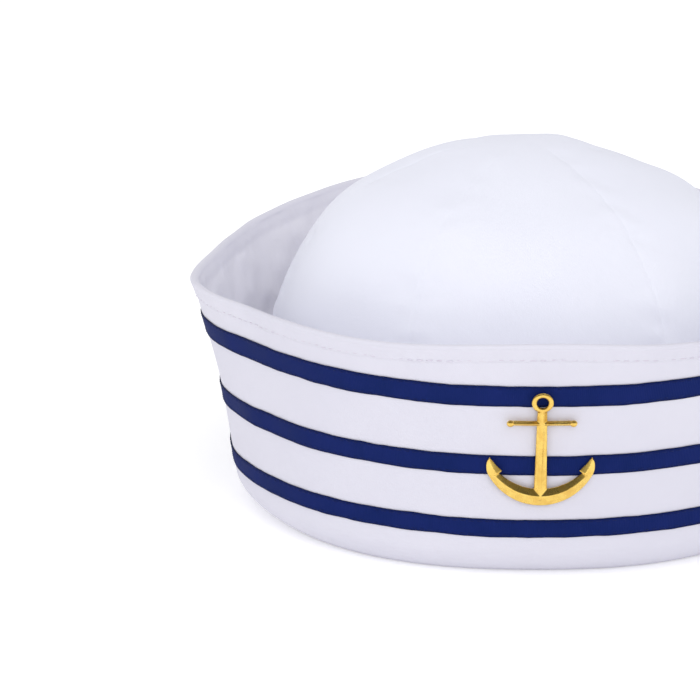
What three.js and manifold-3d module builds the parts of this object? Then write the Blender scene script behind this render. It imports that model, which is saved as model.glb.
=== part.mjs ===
import * as THREE from "three";
import { mergeVertices } from "three/addons/utils/BufferGeometryUtils.js";
import Module from "manifold-3d";

// A sailor cap of white cotton: a soft crown of six gores inside a tall brim that is turned up
// all round, with three navy ribbons and a gold anchor on the brim's front.
// Millimetres, +Z up, the front towards -Y. The origin is on the table, under the cap's middle.
// Angles go round the cap in degrees: 0 is the front, 90 the left side at -X, 180 the back.

// The brim's outer face
const baseHalfWidth = 101.9;
const baseHalfDepth = 104.5;
const rimHalfWidth = 114.0;
const rimFrontReach = 116.3;
const rimBackReach = 129.1;
const frontHeight = 80.2;
const sideHeight = 80.7;
const backHeight = 93.2;
const frontLift = 3.2; // the rim rises this much more at the very front
const frontLiftSpread = 20; // degrees

// Shape of the brim seen from above: 2 is an ellipse, and more is squarer
const baseSquareness = 2.17;
const rimSquareness = 1.95;
const flareLag = 0.21; // the face flares late, by this share of its flare at half height

// The brim's cloth
const brimWall = 2.2;
const foldHeight = 10.8; // the rounded lower edge
const foldWidth = 9.7;
const hemDepth = 6.2;
const hemOutside = 0.4; // the hem's folded cloth stands out on both faces
const hemInside = 0.6;
const hemStep = 0.7;
const rimRounding = 1.1;
const lipOut = 0.6; // the rim curls outwards
const lipDepth = 7.3;

// Creases at the sides, where the cap was folded flat
const creaseOut = 4.0;
const creaseAngle = 83.3;
const creaseSpread = 13.1;

// Waves in the cloth of the brim, as shares of the two sizes
const rimWave = 2.2;
const wallWave = 0.57;
const wallWaveRise = 0.3; // the share of the height where the wall's wave is deepest
const rimWaves = [
  { angle: 0, out: -0.05 },
  { angle: 18, out: 0.27 },
  { angle: 38, out: -0.07 },
  { angle: 58, out: -1.0 },
  { angle: 78, out: 0.55 },
  { angle: 102, out: -0.21 },
  { angle: 125, out: 0.13 },
  { angle: 150, out: 0.05 },
  { angle: 180, out: 0.0 },
];
const wallWaves = [
  { angle: 0, out: 0.93 },
  { angle: 25, out: -0.94 },
  { angle: 50, out: 0.04 },
  { angle: 75, out: 1.0 },
  { angle: 110, out: 0.0 },
  { angle: 180, out: 0.0 },
];

// The crown, sewn into the fold at the brim's lower edge
const gap = 0.3; // between pieces that touch
const crownHalfWidth = 93.9;
const crownHalfDepth = 95.8;
const crownHeight = 126.8;
const crownSquareness = 2.0;
const crownWall = 1.4;
const seatInset = 12.9; // from the brim's outer face, at the table, in to the crown's outside
const legWall = 1.2; // the brim's edge, turned up inside the crown
const legHeight = 8.7;
const legSwell = 0.5;
const crownSeat = brimWall + gap;

// The crown's rings from its lower edge to its top: the height as a share of the crown's, how far
// it has swelled from the seat to the full crown, and its width as a share of the full crown's
const crownRings = [
  { rise: 0, swell: 0, width: 1 },
  { rise: (legHeight - crownSeat) / (crownHeight - crownSeat), swell: legSwell, width: 1 },
  { rise: 0.197, swell: 1, width: 1 },
  { rise: 0.36, swell: 1, width: 0.988 },
  { rise: 0.5, swell: 1, width: 0.949 },
  { rise: 0.625, swell: 1, width: 0.885 },
  { rise: 0.717, swell: 1, width: 0.819 },
  { rise: 0.802, swell: 1, width: 0.734 },
  { rise: 0.869, swell: 1, width: 0.626 },
  { rise: 0.914, swell: 1, width: 0.501 },
  { rise: 0.955, swell: 1, width: 0.37 },
  { rise: 0.986, swell: 1, width: 0.235 },
  { rise: 0.997, swell: 1, width: 0.118 },
];

// Six gores puff out between their seams, and the cloth has a few soft dents
const goreCount = 6;
const gorePuff = 1.2;
const goreFullness = 0.6; // under 1 makes the seams narrow valleys
const dentDepth = 1.6;
const crownDents = [
  { angle: 36, rise: 0.64, spread: 7, tall: 0.1, depth: 0.8 },
  { angle: 84, rise: 0.69, spread: 12, tall: 0.05, depth: 1.0 },
  { angle: 46, rise: 0.93, spread: 14, tall: 0.03, depth: 0.6 },
];

// Ribbons sewn round the brim: the height of each one's middle, as a share of the brim's height
// at its side, and its width as a share
const ribbonWidth = 7;
const ribbonThickness = 0.45;
const ribbons = [
  { name: "ribbon_upper", rise: 0.802, width: 1.04 },
  { name: "ribbon_middle", rise: 0.498, width: 0.98 },
  { name: "ribbon_lower", rise: 0.222, width: 0.9 },
];

// The cast anchor: its arms are part of a circle, bevelled to a ridge, with a fluke at each end
const armRadius = 19.1;
const armMiddleHeight = 45.8; // of that circle's middle above the table
const flukeAngle = 81.4;
const castEdge = 0.7;
const castRidge = 2.2;
const castGap = gap + ribbonThickness + gap; // the anchor clears the ribbon behind it
const arms = [
  { angle: 0, inner: 0.7, outer: 1, ridge: 1 },
  { angle: 0.13, inner: 0.705, outer: 1, ridge: 1 },
  { angle: 0.25, inner: 0.715, outer: 1, ridge: 1 },
  { angle: 0.37, inner: 0.733, outer: 1, ridge: 0.97 },
  { angle: 0.484, inner: 0.754, outer: 1, ridge: 0.94 },
  { angle: 0.6, inner: 0.79, outer: 1, ridge: 0.9 },
  { angle: 0.733, inner: 0.818, outer: 1, ridge: 0.86 },
  { angle: 0.748, inner: 0.752, outer: 1, ridge: 0.86 },
  { angle: 0.83, inner: 0.779, outer: 0.996, ridge: 0.75 },
  { angle: 0.915, inner: 0.819, outer: 0.958, ridge: 0.6 },
  { angle: 1, inner: 0.872, outer: 0.882, ridge: 0.4 },
];
const shankBottom = 29; // heights above the table
const shankTop = 61.2;
const shankBottomHalfWidth = 2.2;
const shankTopHalfWidth = 1.5;
const shankSteps = 6;
const stockHeight = 55.7;
const stockHalfLength = 9.9;
const stockHalfWidth = 0.9;
const stockRidge = 0.8; // shares of the cast ridge and edge
const stockSteps = 8;
const ballRadius = 1.2;
const ballLift = 1.0;
const eyeRadius = 2.6;
const eyeWire = 0.85;
const eyeSink = 0.6; // the shank's top reaches this far past the middle of the eye's wire
const eyeHeight = shankTop + eyeRadius - eyeSink;
const eyeLift = 1.1;

// Fineness of the faceted surfaces
const turnSteps = 72;
const foldSteps = [0, 0.1, 0.25, 0.45, 0.7, 1];
const outsideSteps = 7;
const insideSteps = 5;
const ballSides = 10;
const eyeSides = 18;
const wireSides = 8;

const cottonWhite = 0xe8eaf6;
const ribbonNavy = 0x1a2668;
const anchorGold = 0xe8bc4a;

const { lerp, clamp, degToRad, radToDeg } = THREE.MathUtils;
const angles = Array.from({ length: turnSteps }, (_, k) => (360 * k) / turnSteps);

// The angle from the front, the same on the left and the right
const fromFront = (angle) => Math.abs(((angle + 180) % 360) - 180);

// A rounded bump of height 1
const bump = (offset, spread) => Math.exp(-((offset / spread) ** 2));

// A smooth curve through a table of waves, level at the front and at the back
function waveCurve(table) {
  const curve = new THREE.CubicInterpolant(table.map((row) => row.angle), table.map((row) => row.out), 1);
  curve.settings = { endingStart: THREE.ZeroSlopeEnding, endingEnd: THREE.ZeroSlopeEnding };
  return (angle) => curve.evaluate(angle)[0];
}

const rimWaveAt = waveCurve(rimWaves);
const wallWaveAt = waveCurve(wallWaves);

// A point of an oval ring, by its half sizes
function ovalPoint(angle, side, along, squareness, height) {
  const across = Math.sin(degToRad(angle));
  const ahead = Math.cos(degToRad(angle));
  const x = -side * Math.sign(across) * Math.abs(across) ** (2 / squareness);
  const y = -along * Math.sign(ahead) * Math.abs(ahead) ** (2 / squareness);
  return new THREE.Vector3(x, y, height);
}

function rimHeight(angle) {
  const end = Math.cos(degToRad(angle)) > 0 ? frontHeight : backHeight;
  const lift = frontLift * bump(fromFront(angle), frontLiftSpread);
  return lerp(sideHeight, end, Math.cos(degToRad(angle)) ** 2) + lift;
}

const flareAt = (rise) => rise - 4 * flareLag * rise * (1 - rise);

// A point of the brim's outer face, moved outwards by out
function facePoint(angle, height, out) {
  const rise = height / sideHeight;
  const flare = flareAt(rise);
  const turn = fromFront(angle);
  const wallShare = 1 - 2 * Math.abs(clamp(rise, 0, 1) - wallWaveRise);
  const waves = rimWave * rimWaveAt(turn) * rise + wallWave * wallWaveAt(turn) * wallShare;
  const crease = creaseOut * bump(turn - creaseAngle, creaseSpread) * rise;
  const lip = lipOut * clamp((height - rimHeight(angle)) / lipDepth + 1, 0, 1) ** 2;
  const rimReach = Math.cos(degToRad(angle)) > 0 ? rimFrontReach : rimBackReach;
  const grown = waves + crease + lip + out;
  const side = lerp(baseHalfWidth, rimHalfWidth, flare) + grown;
  const along = lerp(baseHalfDepth, rimReach, flare) + grown;
  return ovalPoint(angle, side, along, lerp(baseSquareness, rimSquareness, rise), height);
}

// How far the lower edge turns in under the brim
const tuckAt = (height) => foldWidth * clamp(1 - height / foldHeight, 0, 1) ** 2;

// A point of the crown's ring, moved inwards and downwards
function crownPoint(angle, ring, inwards, down) {
  const width = lerp(baseHalfWidth - seatInset, crownHalfWidth, ring.swell) * ring.width;
  const depth = lerp(baseHalfDepth - seatInset, crownHalfDepth, ring.swell) * ring.width;
  const squareness = lerp(baseSquareness, crownSquareness, ring.swell);
  const height = lerp(crownSeat, crownHeight, ring.rise) - down;
  const seams = Math.abs(Math.cos(degToRad((angle * goreCount) / 2))) ** goreFullness;
  const puff = gorePuff * seams * Math.sin(Math.PI * ring.rise);
  let dents = 0;
  for (const dent of crownDents) {
    const beside = bump(fromFront(angle) - dent.angle, dent.spread);
    dents += dentDepth * dent.depth * beside * bump(ring.rise - dent.rise, dent.tall);
  }
  const grown = puff - dents - inwards;
  return ovalPoint(angle, width + grown, depth + grown, squareness, height);
}

// A closed mesh through rings of points: the last ring joins the first, or two end points close it
function skin(rings, endPoints) {
  const size = rings[0].length;
  const positions = rings.flat().flatMap((point) => point.toArray());
  const faces = [];
  const at = (ring, k) => (ring % rings.length) * size + (k % size);
  const joined = endPoints ? rings.length - 1 : rings.length;
  for (let ring = 0; ring < joined; ring += 1) {
    for (let k = 0; k < size; k += 1) {
      faces.push(at(ring, k), at(ring, k + 1), at(ring + 1, k + 1));
      faces.push(at(ring, k), at(ring + 1, k + 1), at(ring + 1, k));
    }
  }
  if (endPoints) {
    const first = rings.length * size;
    const last = first + 1;
    positions.push(...endPoints[0].toArray(), ...endPoints[1].toArray());
    for (let k = 0; k < size; k += 1) {
      faces.push(first, at(0, k + 1), at(0, k));
      faces.push(last, at(rings.length - 1, k), at(rings.length - 1, k + 1));
    }
  }
  const geometry = new THREE.BufferGeometry();
  geometry.setAttribute("position", new THREE.Float32BufferAttribute(positions, 3));
  geometry.setIndex(faces);
  return geometry;
}

// The brim's section at one angle: up the outer face, over the hemmed rim, down the inner face,
// round the fold and up the leg inside the crown
function brimSection(angle) {
  const rim = rimHeight(angle);
  const hemStart = rim - hemDepth;
  const face = (height, out) => facePoint(angle, height, out);
  const outerFold = foldSteps.map((step) => face(step * foldHeight, -tuckAt(step * foldHeight)));
  const innerFold = foldSteps.map((step) => {
    const level = step * foldHeight;
    return face(brimWall + level, -brimWall - tuckAt(level));
  });
  const outside = [];
  for (let k = 1; k <= outsideSteps; k += 1) {
    outside.push(face(lerp(foldHeight, hemStart, k / outsideSteps), 0));
  }
  const inside = [];
  for (let k = 0; k < insideSteps; k += 1) {
    inside.push(face(lerp(hemStart, brimWall + foldHeight, k / insideSteps), -brimWall));
  }
  const hemMiddle = (hemOutside - brimWall - hemInside) / 2;
  const hem = [
    face(hemStart + hemStep, hemOutside),
    face(rim - rimRounding, hemOutside),
    face(rim, hemMiddle),
    face(rim - rimRounding, -brimWall - hemInside),
    face(hemStart + hemStep, -brimWall - hemInside),
  ];
  const seat = crownRings[0];
  const legTop = crownRings[1];
  const legOutside = crownWall + gap;
  const leg = [
    crownPoint(angle, seat, legOutside, gap),
    crownPoint(angle, legTop, legOutside, 0),
    crownPoint(angle, legTop, legOutside + legWall, 0),
    crownPoint(angle, seat, legOutside + legWall, crownSeat),
  ];
  return [...outerFold, ...outside, ...hem, ...inside, ...innerFold.reverse(), ...leg];
}

function makeBrim() {
  return skin(angles.map(brimSection), null);
}

// The profile's outward direction at a ring, from the rings beside it
function ringNormal(index) {
  const height = (k) => lerp(crownSeat, crownHeight, crownRings[k]?.rise ?? 1);
  const radius = (k) => {
    const ring = crownRings[k];
    return ring ? lerp(baseHalfWidth - seatInset, crownHalfWidth, ring.swell) * ring.width : 0;
  };
  const below = Math.max(index - 1, 0);
  const normal = new THREE.Vector2(height(index + 1) - height(below), radius(below) - radius(index + 1));
  return normal.normalize();
}

function makeCrown() {
  const outside = [];
  const inside = [];
  crownRings.forEach((ring, index) => {
    const normal = index === 0 ? new THREE.Vector2(1, 0) : ringNormal(index);
    outside.push(angles.map((angle) => crownPoint(angle, ring, 0, 0)));
    inside.push(angles.map((angle) => crownPoint(angle, ring, crownWall * normal.x, crownWall * normal.y)));
  });
  const top = new THREE.Vector3(0, 0, crownHeight);
  const underTop = new THREE.Vector3(0, 0, crownHeight - crownWall);
  return skin([...outside.reverse(), ...inside], [top, underTop]);
}

function makeRibbon(ribbon) {
  const low = ribbon.rise * sideHeight - (ribbonWidth * ribbon.width) / 2;
  const high = low + ribbonWidth * ribbon.width;
  const section = (angle) => [
    facePoint(angle, low, gap + ribbonThickness),
    facePoint(angle, high, gap + ribbonThickness),
    facePoint(angle, high, gap),
    facePoint(angle, low, gap),
  ];
  return skin(angles.map(section), null);
}

// A bar with upright edges and a ridge along its middle, on a flat back in the XZ plane.
// Each station has its middle, half its width, and the direction from the ridge to its right edge.
function ridgedBar(stations) {
  const corner = (station, share, height) => {
    const reach = station.halfWidth * share;
    const x = station.x + station.across.x * reach;
    return new THREE.Vector3(x, -height, station.z + station.across.y * reach);
  };
  const rings = stations.map((station) => [
    corner(station, -1, 0),
    corner(station, -1, castEdge * station.ridge),
    corner(station, 0, castRidge * station.ridge),
    corner(station, 1, castEdge * station.ridge),
    corner(station, 1, 0),
  ]);
  const end = (station) => corner(station, 0, castEdge * station.ridge);
  return skin(rings, [end(stations[0]), end(stations[stations.length - 1])]);
}

function makeArms() {
  const stations = [];
  const place = (row, side) => {
    const turn = degToRad(row.angle * flukeAngle * side);
    const across = new THREE.Vector2(Math.sin(turn), -Math.cos(turn));
    const radius = (armRadius * (row.inner + row.outer)) / 2;
    const halfWidth = (armRadius * (row.outer - row.inner)) / 2;
    const z = armMiddleHeight + across.y * radius;
    stations.push({ x: across.x * radius, z, across, halfWidth, ridge: row.ridge });
  };
  for (const row of arms.slice(1).reverse()) {
    place(row, -1);
  }
  for (const row of arms) {
    place(row, 1);
  }
  return ridgedBar(stations);
}

function makeShank() {
  const stations = [];
  for (let k = 0; k <= shankSteps; k += 1) {
    const share = k / shankSteps;
    const halfWidth = lerp(shankBottomHalfWidth, shankTopHalfWidth, share);
    const z = lerp(shankBottom, shankTop, share);
    stations.push({ x: 0, z, across: new THREE.Vector2(1, 0), halfWidth, ridge: 1 });
  }
  return ridgedBar(stations);
}

function makeStock() {
  const stations = [];
  for (let k = 0; k <= stockSteps; k += 1) {
    const x = lerp(-stockHalfLength, stockHalfLength, k / stockSteps);
    const across = new THREE.Vector2(0, -1);
    stations.push({ x, z: stockHeight, across, halfWidth: stockHalfWidth, ridge: stockRidge });
  }
  return ridgedBar(stations);
}

// Lays a flat piece on the brim's face: sideways distances go round it, and the back stands clear
function layOnFace(geometry) {
  const positions = geometry.attributes.position;
  for (let k = 0; k < positions.count; k += 1) {
    const height = positions.getZ(k);
    const rise = height / sideHeight;
    const side = lerp(baseHalfWidth, rimHalfWidth, flareAt(rise));
    const power = lerp(baseSquareness, rimSquareness, rise) / 2;
    const turn = radToDeg(Math.asin((Math.abs(positions.getX(k)) / side) ** power));
    const angle = -Math.sign(positions.getX(k)) * turn;
    const point = facePoint(angle, height, castGap - positions.getY(k));
    positions.setXYZ(k, point.x, point.y, point.z);
  }
  return geometry;
}

const wasm = await Module();
wasm.setup();

function toSolid(geometry) {
  const bare = geometry.clone();
  bare.deleteAttribute("normal");
  bare.deleteAttribute("uv");
  const merged = mergeVertices(bare);
  const vertProperties = new Float32Array(merged.attributes.position.array);
  const triVerts = new Uint32Array(merged.index.array);
  return new wasm.Manifold(new wasm.Mesh({ numProp: 3, vertProperties, triVerts }));
}

function fromSolid(solid) {
  const mesh = solid.getMesh();
  const geometry = new THREE.BufferGeometry();
  geometry.setAttribute("position", new THREE.BufferAttribute(mesh.vertProperties, 3));
  geometry.setIndex(new THREE.BufferAttribute(mesh.triVerts, 1));
  return geometry;
}

function makeAnchor() {
  const eye = new THREE.TorusGeometry(eyeRadius, eyeWire, wireSides, eyeSides);
  eye.rotateX(Math.PI / 2).translate(0, -eyeLift, eyeHeight);
  const pieces = [makeShank(), makeStock(), eye];
  for (const side of [-1, 1]) {
    const ball = new THREE.SphereGeometry(ballRadius, ballSides, ballSides / 2);
    pieces.push(ball.translate(side * stockHalfLength, -ballLift, stockHeight));
  }
  let cast = toSolid(makeArms());
  for (const piece of pieces) {
    cast = cast.add(toSolid(piece));
  }
  return layOnFace(fromSolid(cast));
}

const cap = new THREE.Group();

function addPiece(name, geometry, color, roughness, metalness) {
  geometry.computeVertexNormals();
  const mesh = new THREE.Mesh(geometry, new THREE.MeshStandardMaterial({ color, roughness, metalness }));
  mesh.name = name;
  cap.add(mesh);
}

addPiece("crown", makeCrown(), cottonWhite, 0.9, 0);
addPiece("brim", makeBrim(), cottonWhite, 0.9, 0);
for (const ribbon of ribbons) {
  addPiece(ribbon.name, makeRibbon(ribbon), ribbonNavy, 0.7, 0);
}
addPiece("anchor", makeAnchor(), anchorGold, 0.3, 1);

// The middle of the whole cap comes over the origin
const box = new THREE.Box3().setFromObject(cap);
cap.position.y = -(box.min.y + box.max.y) / 2;

export default cap;
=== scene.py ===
# %% [markdown]
# # A sailor cap
# The cap is white cotton. A soft crown of six gores sits in a tall brim that is turned up all
# round, three navy ribbons go round the brim, and a cast anchor is fixed to its front.
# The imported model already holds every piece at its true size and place, as plain faceted solids.
# This lesson loads them as a frame and makes each piece again over its solid, in finished cloth,
# ribbon and metal. Loading comes first, so that nothing is fitted by eye afterwards.

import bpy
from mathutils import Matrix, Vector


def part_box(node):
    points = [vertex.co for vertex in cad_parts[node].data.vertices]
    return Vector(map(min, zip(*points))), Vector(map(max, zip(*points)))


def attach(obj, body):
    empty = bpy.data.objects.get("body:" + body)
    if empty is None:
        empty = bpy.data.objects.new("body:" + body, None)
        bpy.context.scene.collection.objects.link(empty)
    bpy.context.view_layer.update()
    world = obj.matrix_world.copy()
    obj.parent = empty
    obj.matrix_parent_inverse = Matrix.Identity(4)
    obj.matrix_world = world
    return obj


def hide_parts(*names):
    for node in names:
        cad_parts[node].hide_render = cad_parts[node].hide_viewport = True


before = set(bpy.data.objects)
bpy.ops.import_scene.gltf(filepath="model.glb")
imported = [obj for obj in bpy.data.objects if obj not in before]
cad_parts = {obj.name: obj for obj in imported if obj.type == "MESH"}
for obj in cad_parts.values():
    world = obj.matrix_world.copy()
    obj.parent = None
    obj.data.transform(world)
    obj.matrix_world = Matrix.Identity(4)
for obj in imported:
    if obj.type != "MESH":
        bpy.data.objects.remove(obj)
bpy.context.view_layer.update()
print("solids in the frame:", ", ".join(sorted(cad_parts)))

# %% [markdown]
# ## The cap's axis
# Both the crown and the brim are rings of cloth round one upright axis. The brim reaches out
# further at the back than at the front, so the middle of the whole cap isn't on that axis. The ring
# that the cap rests on gives it instead. All lengths are metres, and MM turns a millimetre into them.

# %% Find the axis and the main sizes
import math

import bmesh
import bpy
import numpy as np
from mathutils import Vector
from mathutils.bvhtree import BVHTree

MM = 0.001
brim_low, brim_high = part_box("brim")
crown_low, crown_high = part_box("crown")
sole = [v.co.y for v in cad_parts["brim"].data.vertices if v.co.z < brim_low.z + 0.3 * MM]
axis_y = (min(sole) + max(sole)) / 2
print(f"axis at y = {axis_y / MM:.2f} mm, crown {crown_high.z / MM:.1f} mm high")

# %% [markdown]
# ## Reading the shape of a solid
# A faceted solid says where the cloth is, but its flat faces would show. A subdivision surface
# would round them off and shrink the whole form. Here rays are sent in at the solid from all round
# the axis, and a smooth curve is laid through the radii that they measure. A form that closes on
# itself is a sum of waves, so the curve is a Fourier series whose finest waves are faded out.

# %% Rays and smooth curves round the axis
FAR = 0.2
LOOKS = 180
FACET_BLUR = math.radians(2.6)
NEAR_FRONT = 0.01
look_turns = (np.arange(LOOKS) + 0.5) * math.tau / LOOKS


def ray_tree(mesh_data):
    mesh = bmesh.new()
    mesh.from_mesh(mesh_data)
    tree = BVHTree.FromBMesh(mesh)
    mesh.free()
    return tree


def way_out(turn, rise=0.0):
    """The direction away from the axis: turn 0 is the front, and rise lifts it towards the top."""
    flat = math.cos(rise)
    return Vector((-math.sin(turn) * flat, -math.cos(turn) * flat, math.sin(rise)))


def outside_radius(tree, turn, height, rise=0.0):
    """How far a solid's outer face lies from the axis in this direction, or nan for no face."""
    middle = Vector((0, axis_y, height))
    way = way_out(turn, rise)
    hit = tree.ray_cast(middle + way * FAR, -way, FAR)[0]
    return (hit - middle).length if hit else math.nan


def smooth_round(values, turns, blur=FACET_BLUR):
    """Values read at look_turns, as a smooth closed curve that is given at other turns."""
    waves = np.fft.rfft(values, axis=-1) / LOOKS
    count = np.arange(waves.shape[-1])
    waves = waves * np.exp(-0.5 * (count * blur) ** 2) * np.where(count == 0, 1, 2)
    return (waves @ np.exp(1j * np.outer(count, turns - look_turns[0]))).real


brim_tree = ray_tree(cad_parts["brim"].data)
crown_tree = ray_tree(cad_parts["crown"].data)
front_radius = outside_radius(brim_tree, NEAR_FRONT, 40 * MM)
print(f"brim radius at the front, 40 mm up: {front_radius / MM:.1f} mm")

# %% [markdown]
# ## Soft unevenness
# No cloth is quite even. Painted noise textures can only fake light on a surface, and its outline
# would stay perfect. A sum of sine waves in seeded directions moves the real points instead, is
# the same on every run, and has no seam anywhere, because it is worked out from the place itself.

# %% Soft bumps for cloth
BUMP_WAVES = 28


def soft_bumps(points, size, seed):
    """Smooth bumps of about this size, mostly between -1 and 1, at an array of points."""
    chance = np.random.default_rng(seed)
    ways = chance.normal(size=(BUMP_WAVES, 3))
    ways *= (chance.uniform(0.6, 1.5, BUMP_WAVES) / np.linalg.norm(ways, axis=1))[:, None]
    starts = chance.uniform(0, math.tau, BUMP_WAVES)
    return np.sin(points @ ways.T * (math.tau / size) + starts).sum(axis=-1) / math.sqrt(BUMP_WAVES)


def hill(offset, spread):
    """A rounded hill of height 1."""
    return np.exp(-((offset / spread) ** 2))


def ease(value):
    """Turns 0 to 1 into a smooth step."""
    value = np.clip(value, 0, 1)
    return value * value * (3 - 2 * value)


print("bumps at the axis:", np.round(soft_bumps(np.zeros((1, 3)), 0.03, 1), 3))

# %% [markdown]
# ## Cloth as a net of rows
# Each cloth piece is a closed net: rows of points go round the axis, and the rows follow the
# cloth's section. The net could be a lathe or a lofted surface. Rows of numbers let every stitch
# line, fold and wave be a plain sum. The net also carries a map of the flat cloth in metres,
# because woven threads follow the cloth and not the room.

# %% A mesh from rows of points
def put_in_scene(name, data):
    piece = bpy.data.objects.new(name, data)
    bpy.context.scene.collection.objects.link(piece)
    return piece


def cloth_piece(name, rows, flat, material, ends=(), inside=None):
    """A closed mesh: rows x columns x 3 points, and the flat cloth's place of each corner."""
    count, columns = rows.shape[:2]
    joined = count - 1 if len(ends) else count
    row, column = np.meshgrid(np.arange(joined), np.arange(columns), indexing="ij")
    above, beside = (row + 1) % count, (column + 1) % columns
    corners = [row * columns + column, row * columns + beside]
    corners += [above * columns + beside, above * columns + column]
    faces = np.stack(corners, axis=-1).reshape(-1, 4).tolist()
    places = flat.reshape(-1, 4, 2)
    points = rows.reshape(-1, 3).tolist()
    for number, end in enumerate(ends):
        last = (count - 1) * columns * number
        tip = len(points)
        points.append(list(end))
        for k in range(columns):
            edge = [last + k, last + (k + 1) % columns]
            faces.append([tip] + (edge[::-1] if number == 0 else edge))
    mesh = bpy.data.meshes.new(name)
    mesh.from_pydata(points, [], faces)
    mesh.shade_smooth()
    corner_map = np.zeros((len(mesh.loops), 2))
    corner_map[: places.shape[0] * 4] = places.reshape(-1, 2)
    mesh.uv_layers.new(name="cloth").data.foreach_set("uv", corner_map.ravel())
    shade = mesh.attributes.new("inside", "FLOAT", "POINT")
    values = np.zeros(len(points))
    if inside is not None:
        values[: inside.size] = inside.ravel()
    shade.data.foreach_set("value", values)
    mesh.materials.append(material)
    print(f"{name}: {len(mesh.vertices)} points, {count} rows of {columns}")
    return put_in_scene(name, mesh)


def round_points(turns, radii, heights):
    """Points round the axis: radii and heights are rows x columns."""
    x = -np.sin(turns) * radii
    y = axis_y - np.cos(turns) * radii
    return np.stack(np.broadcast_arrays(x, y, heights), axis=-1)


def corner_places(across, along):
    """Gives each face the places of its four corners, from places at the net's crossings."""
    both = np.stack([across, along], axis=-1)
    return np.stack([both[:-1, :-1], both[:-1, 1:], both[1:, 1:], both[1:, :-1]], axis=2)


# %% [markdown]
# ## Small helpers for node trees
# Materials and Geometry Nodes are trees of nodes with links between their sockets. They can be
# drawn by hand in the editor. Built here in code, they can be read from top to bottom, with each
# number set on the socket that it belongs to.

# %% Build nodes and link them
def set_inputs(tree, node, inputs):
    """Each input gets a value, or a link from another node's output socket."""
    for key, value in inputs.items():
        if isinstance(value, bpy.types.NodeSocket):
            tree.links.new(value, node.inputs[key])
        else:
            node.inputs[key].default_value = value


def add_node(tree, kind, inputs=None, **settings):
    node = tree.nodes.new(kind)
    for name, value in settings.items():
        setattr(node, name, value)
    set_inputs(tree, node, inputs or {})
    return node


def add_math(tree, operation, *values):
    inputs = dict(enumerate(values))
    return add_node(tree, "ShaderNodeMath", inputs, operation=operation).outputs[0]


def noise(tree, place, scale, detail):
    inputs = {"Vector": place, "Scale": scale, "Detail": detail}
    return add_node(tree, "ShaderNodeTexNoise", inputs).outputs[0]


# %% Nodes for colour and relief
def new_material(name):
    material = bpy.data.materials.new(name)
    material.use_nodes = True
    shader = material.node_tree.nodes["Principled BSDF"]
    return material, material.node_tree, shader


def mix_colour(tree, share, first, second):
    inputs = {0: share, 6: first, 7: second}
    return add_node(tree, "ShaderNodeMix", inputs, data_type="RGBA").outputs[2]


def spread(tree, value, low, high, to_low=0.0, to_high=1.0):
    """Maps a value from one range to another, held at its ends."""
    inputs = {0: value, 1: low, 2: high, 3: to_low, 4: to_high}
    return add_node(tree, "ShaderNodeMapRange", inputs).outputs[0]


def relief(tree, height, distance, strength, under=None):
    """A normal that follows a height. Another relief may lie under this one."""
    inputs = {"Height": height, "Distance": distance, "Strength": strength}
    if under is not None:
        inputs["Normal"] = under
    return add_node(tree, "ShaderNodeBump", inputs).outputs[0]


# %% [markdown]
# ## White cotton
# The cloth is a fine cotton twill: diagonal ridges half a millimetre apart, over threads that
# cross at half that pitch. A photographed weave would repeat and blur. Here sines of the flat
# cloth's own coordinates make the ridges, and noise makes thicker threads, faint creases and a
# slight change of tint. Matt cotton scatters light at its fuzzy edge, and sheen does that. Inside
# the brim the cloth is more crumpled. Its colour there is painted light: it is mixed towards white
# to lighten that shaded hollow, and noise blotches of the darker tint are painted shade of its
# crumples. An attribute of the mesh, drawn on each row, says how far inside a point is.

# %% The cotton's material
TWILL_PITCH = 0.55 * MM
THREAD_PITCH = 0.28 * MM
TWILL_SLANT = 0.7
# Painted light inside the brim: the white that the inside's colour is mixed towards, and how far.
INSIDE_PAINTED_LIGHT = (0.97, 0.955, 1, 1)
INSIDE_LIGHT_SHARE = 0.68


def ridges(tree, place, pitch):
    """Even ridges across this coordinate, as a wave between -1 and 1."""
    return add_math(tree, "SINE", add_math(tree, "MULTIPLY", place, math.tau / pitch))


def cloth_map(tree):
    """The places across and along the flat cloth."""
    flat = add_node(tree, "ShaderNodeUVMap", uv_map="cloth").outputs[0]
    return add_node(tree, "ShaderNodeSeparateXYZ", {0: flat}).outputs[:2]


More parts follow.
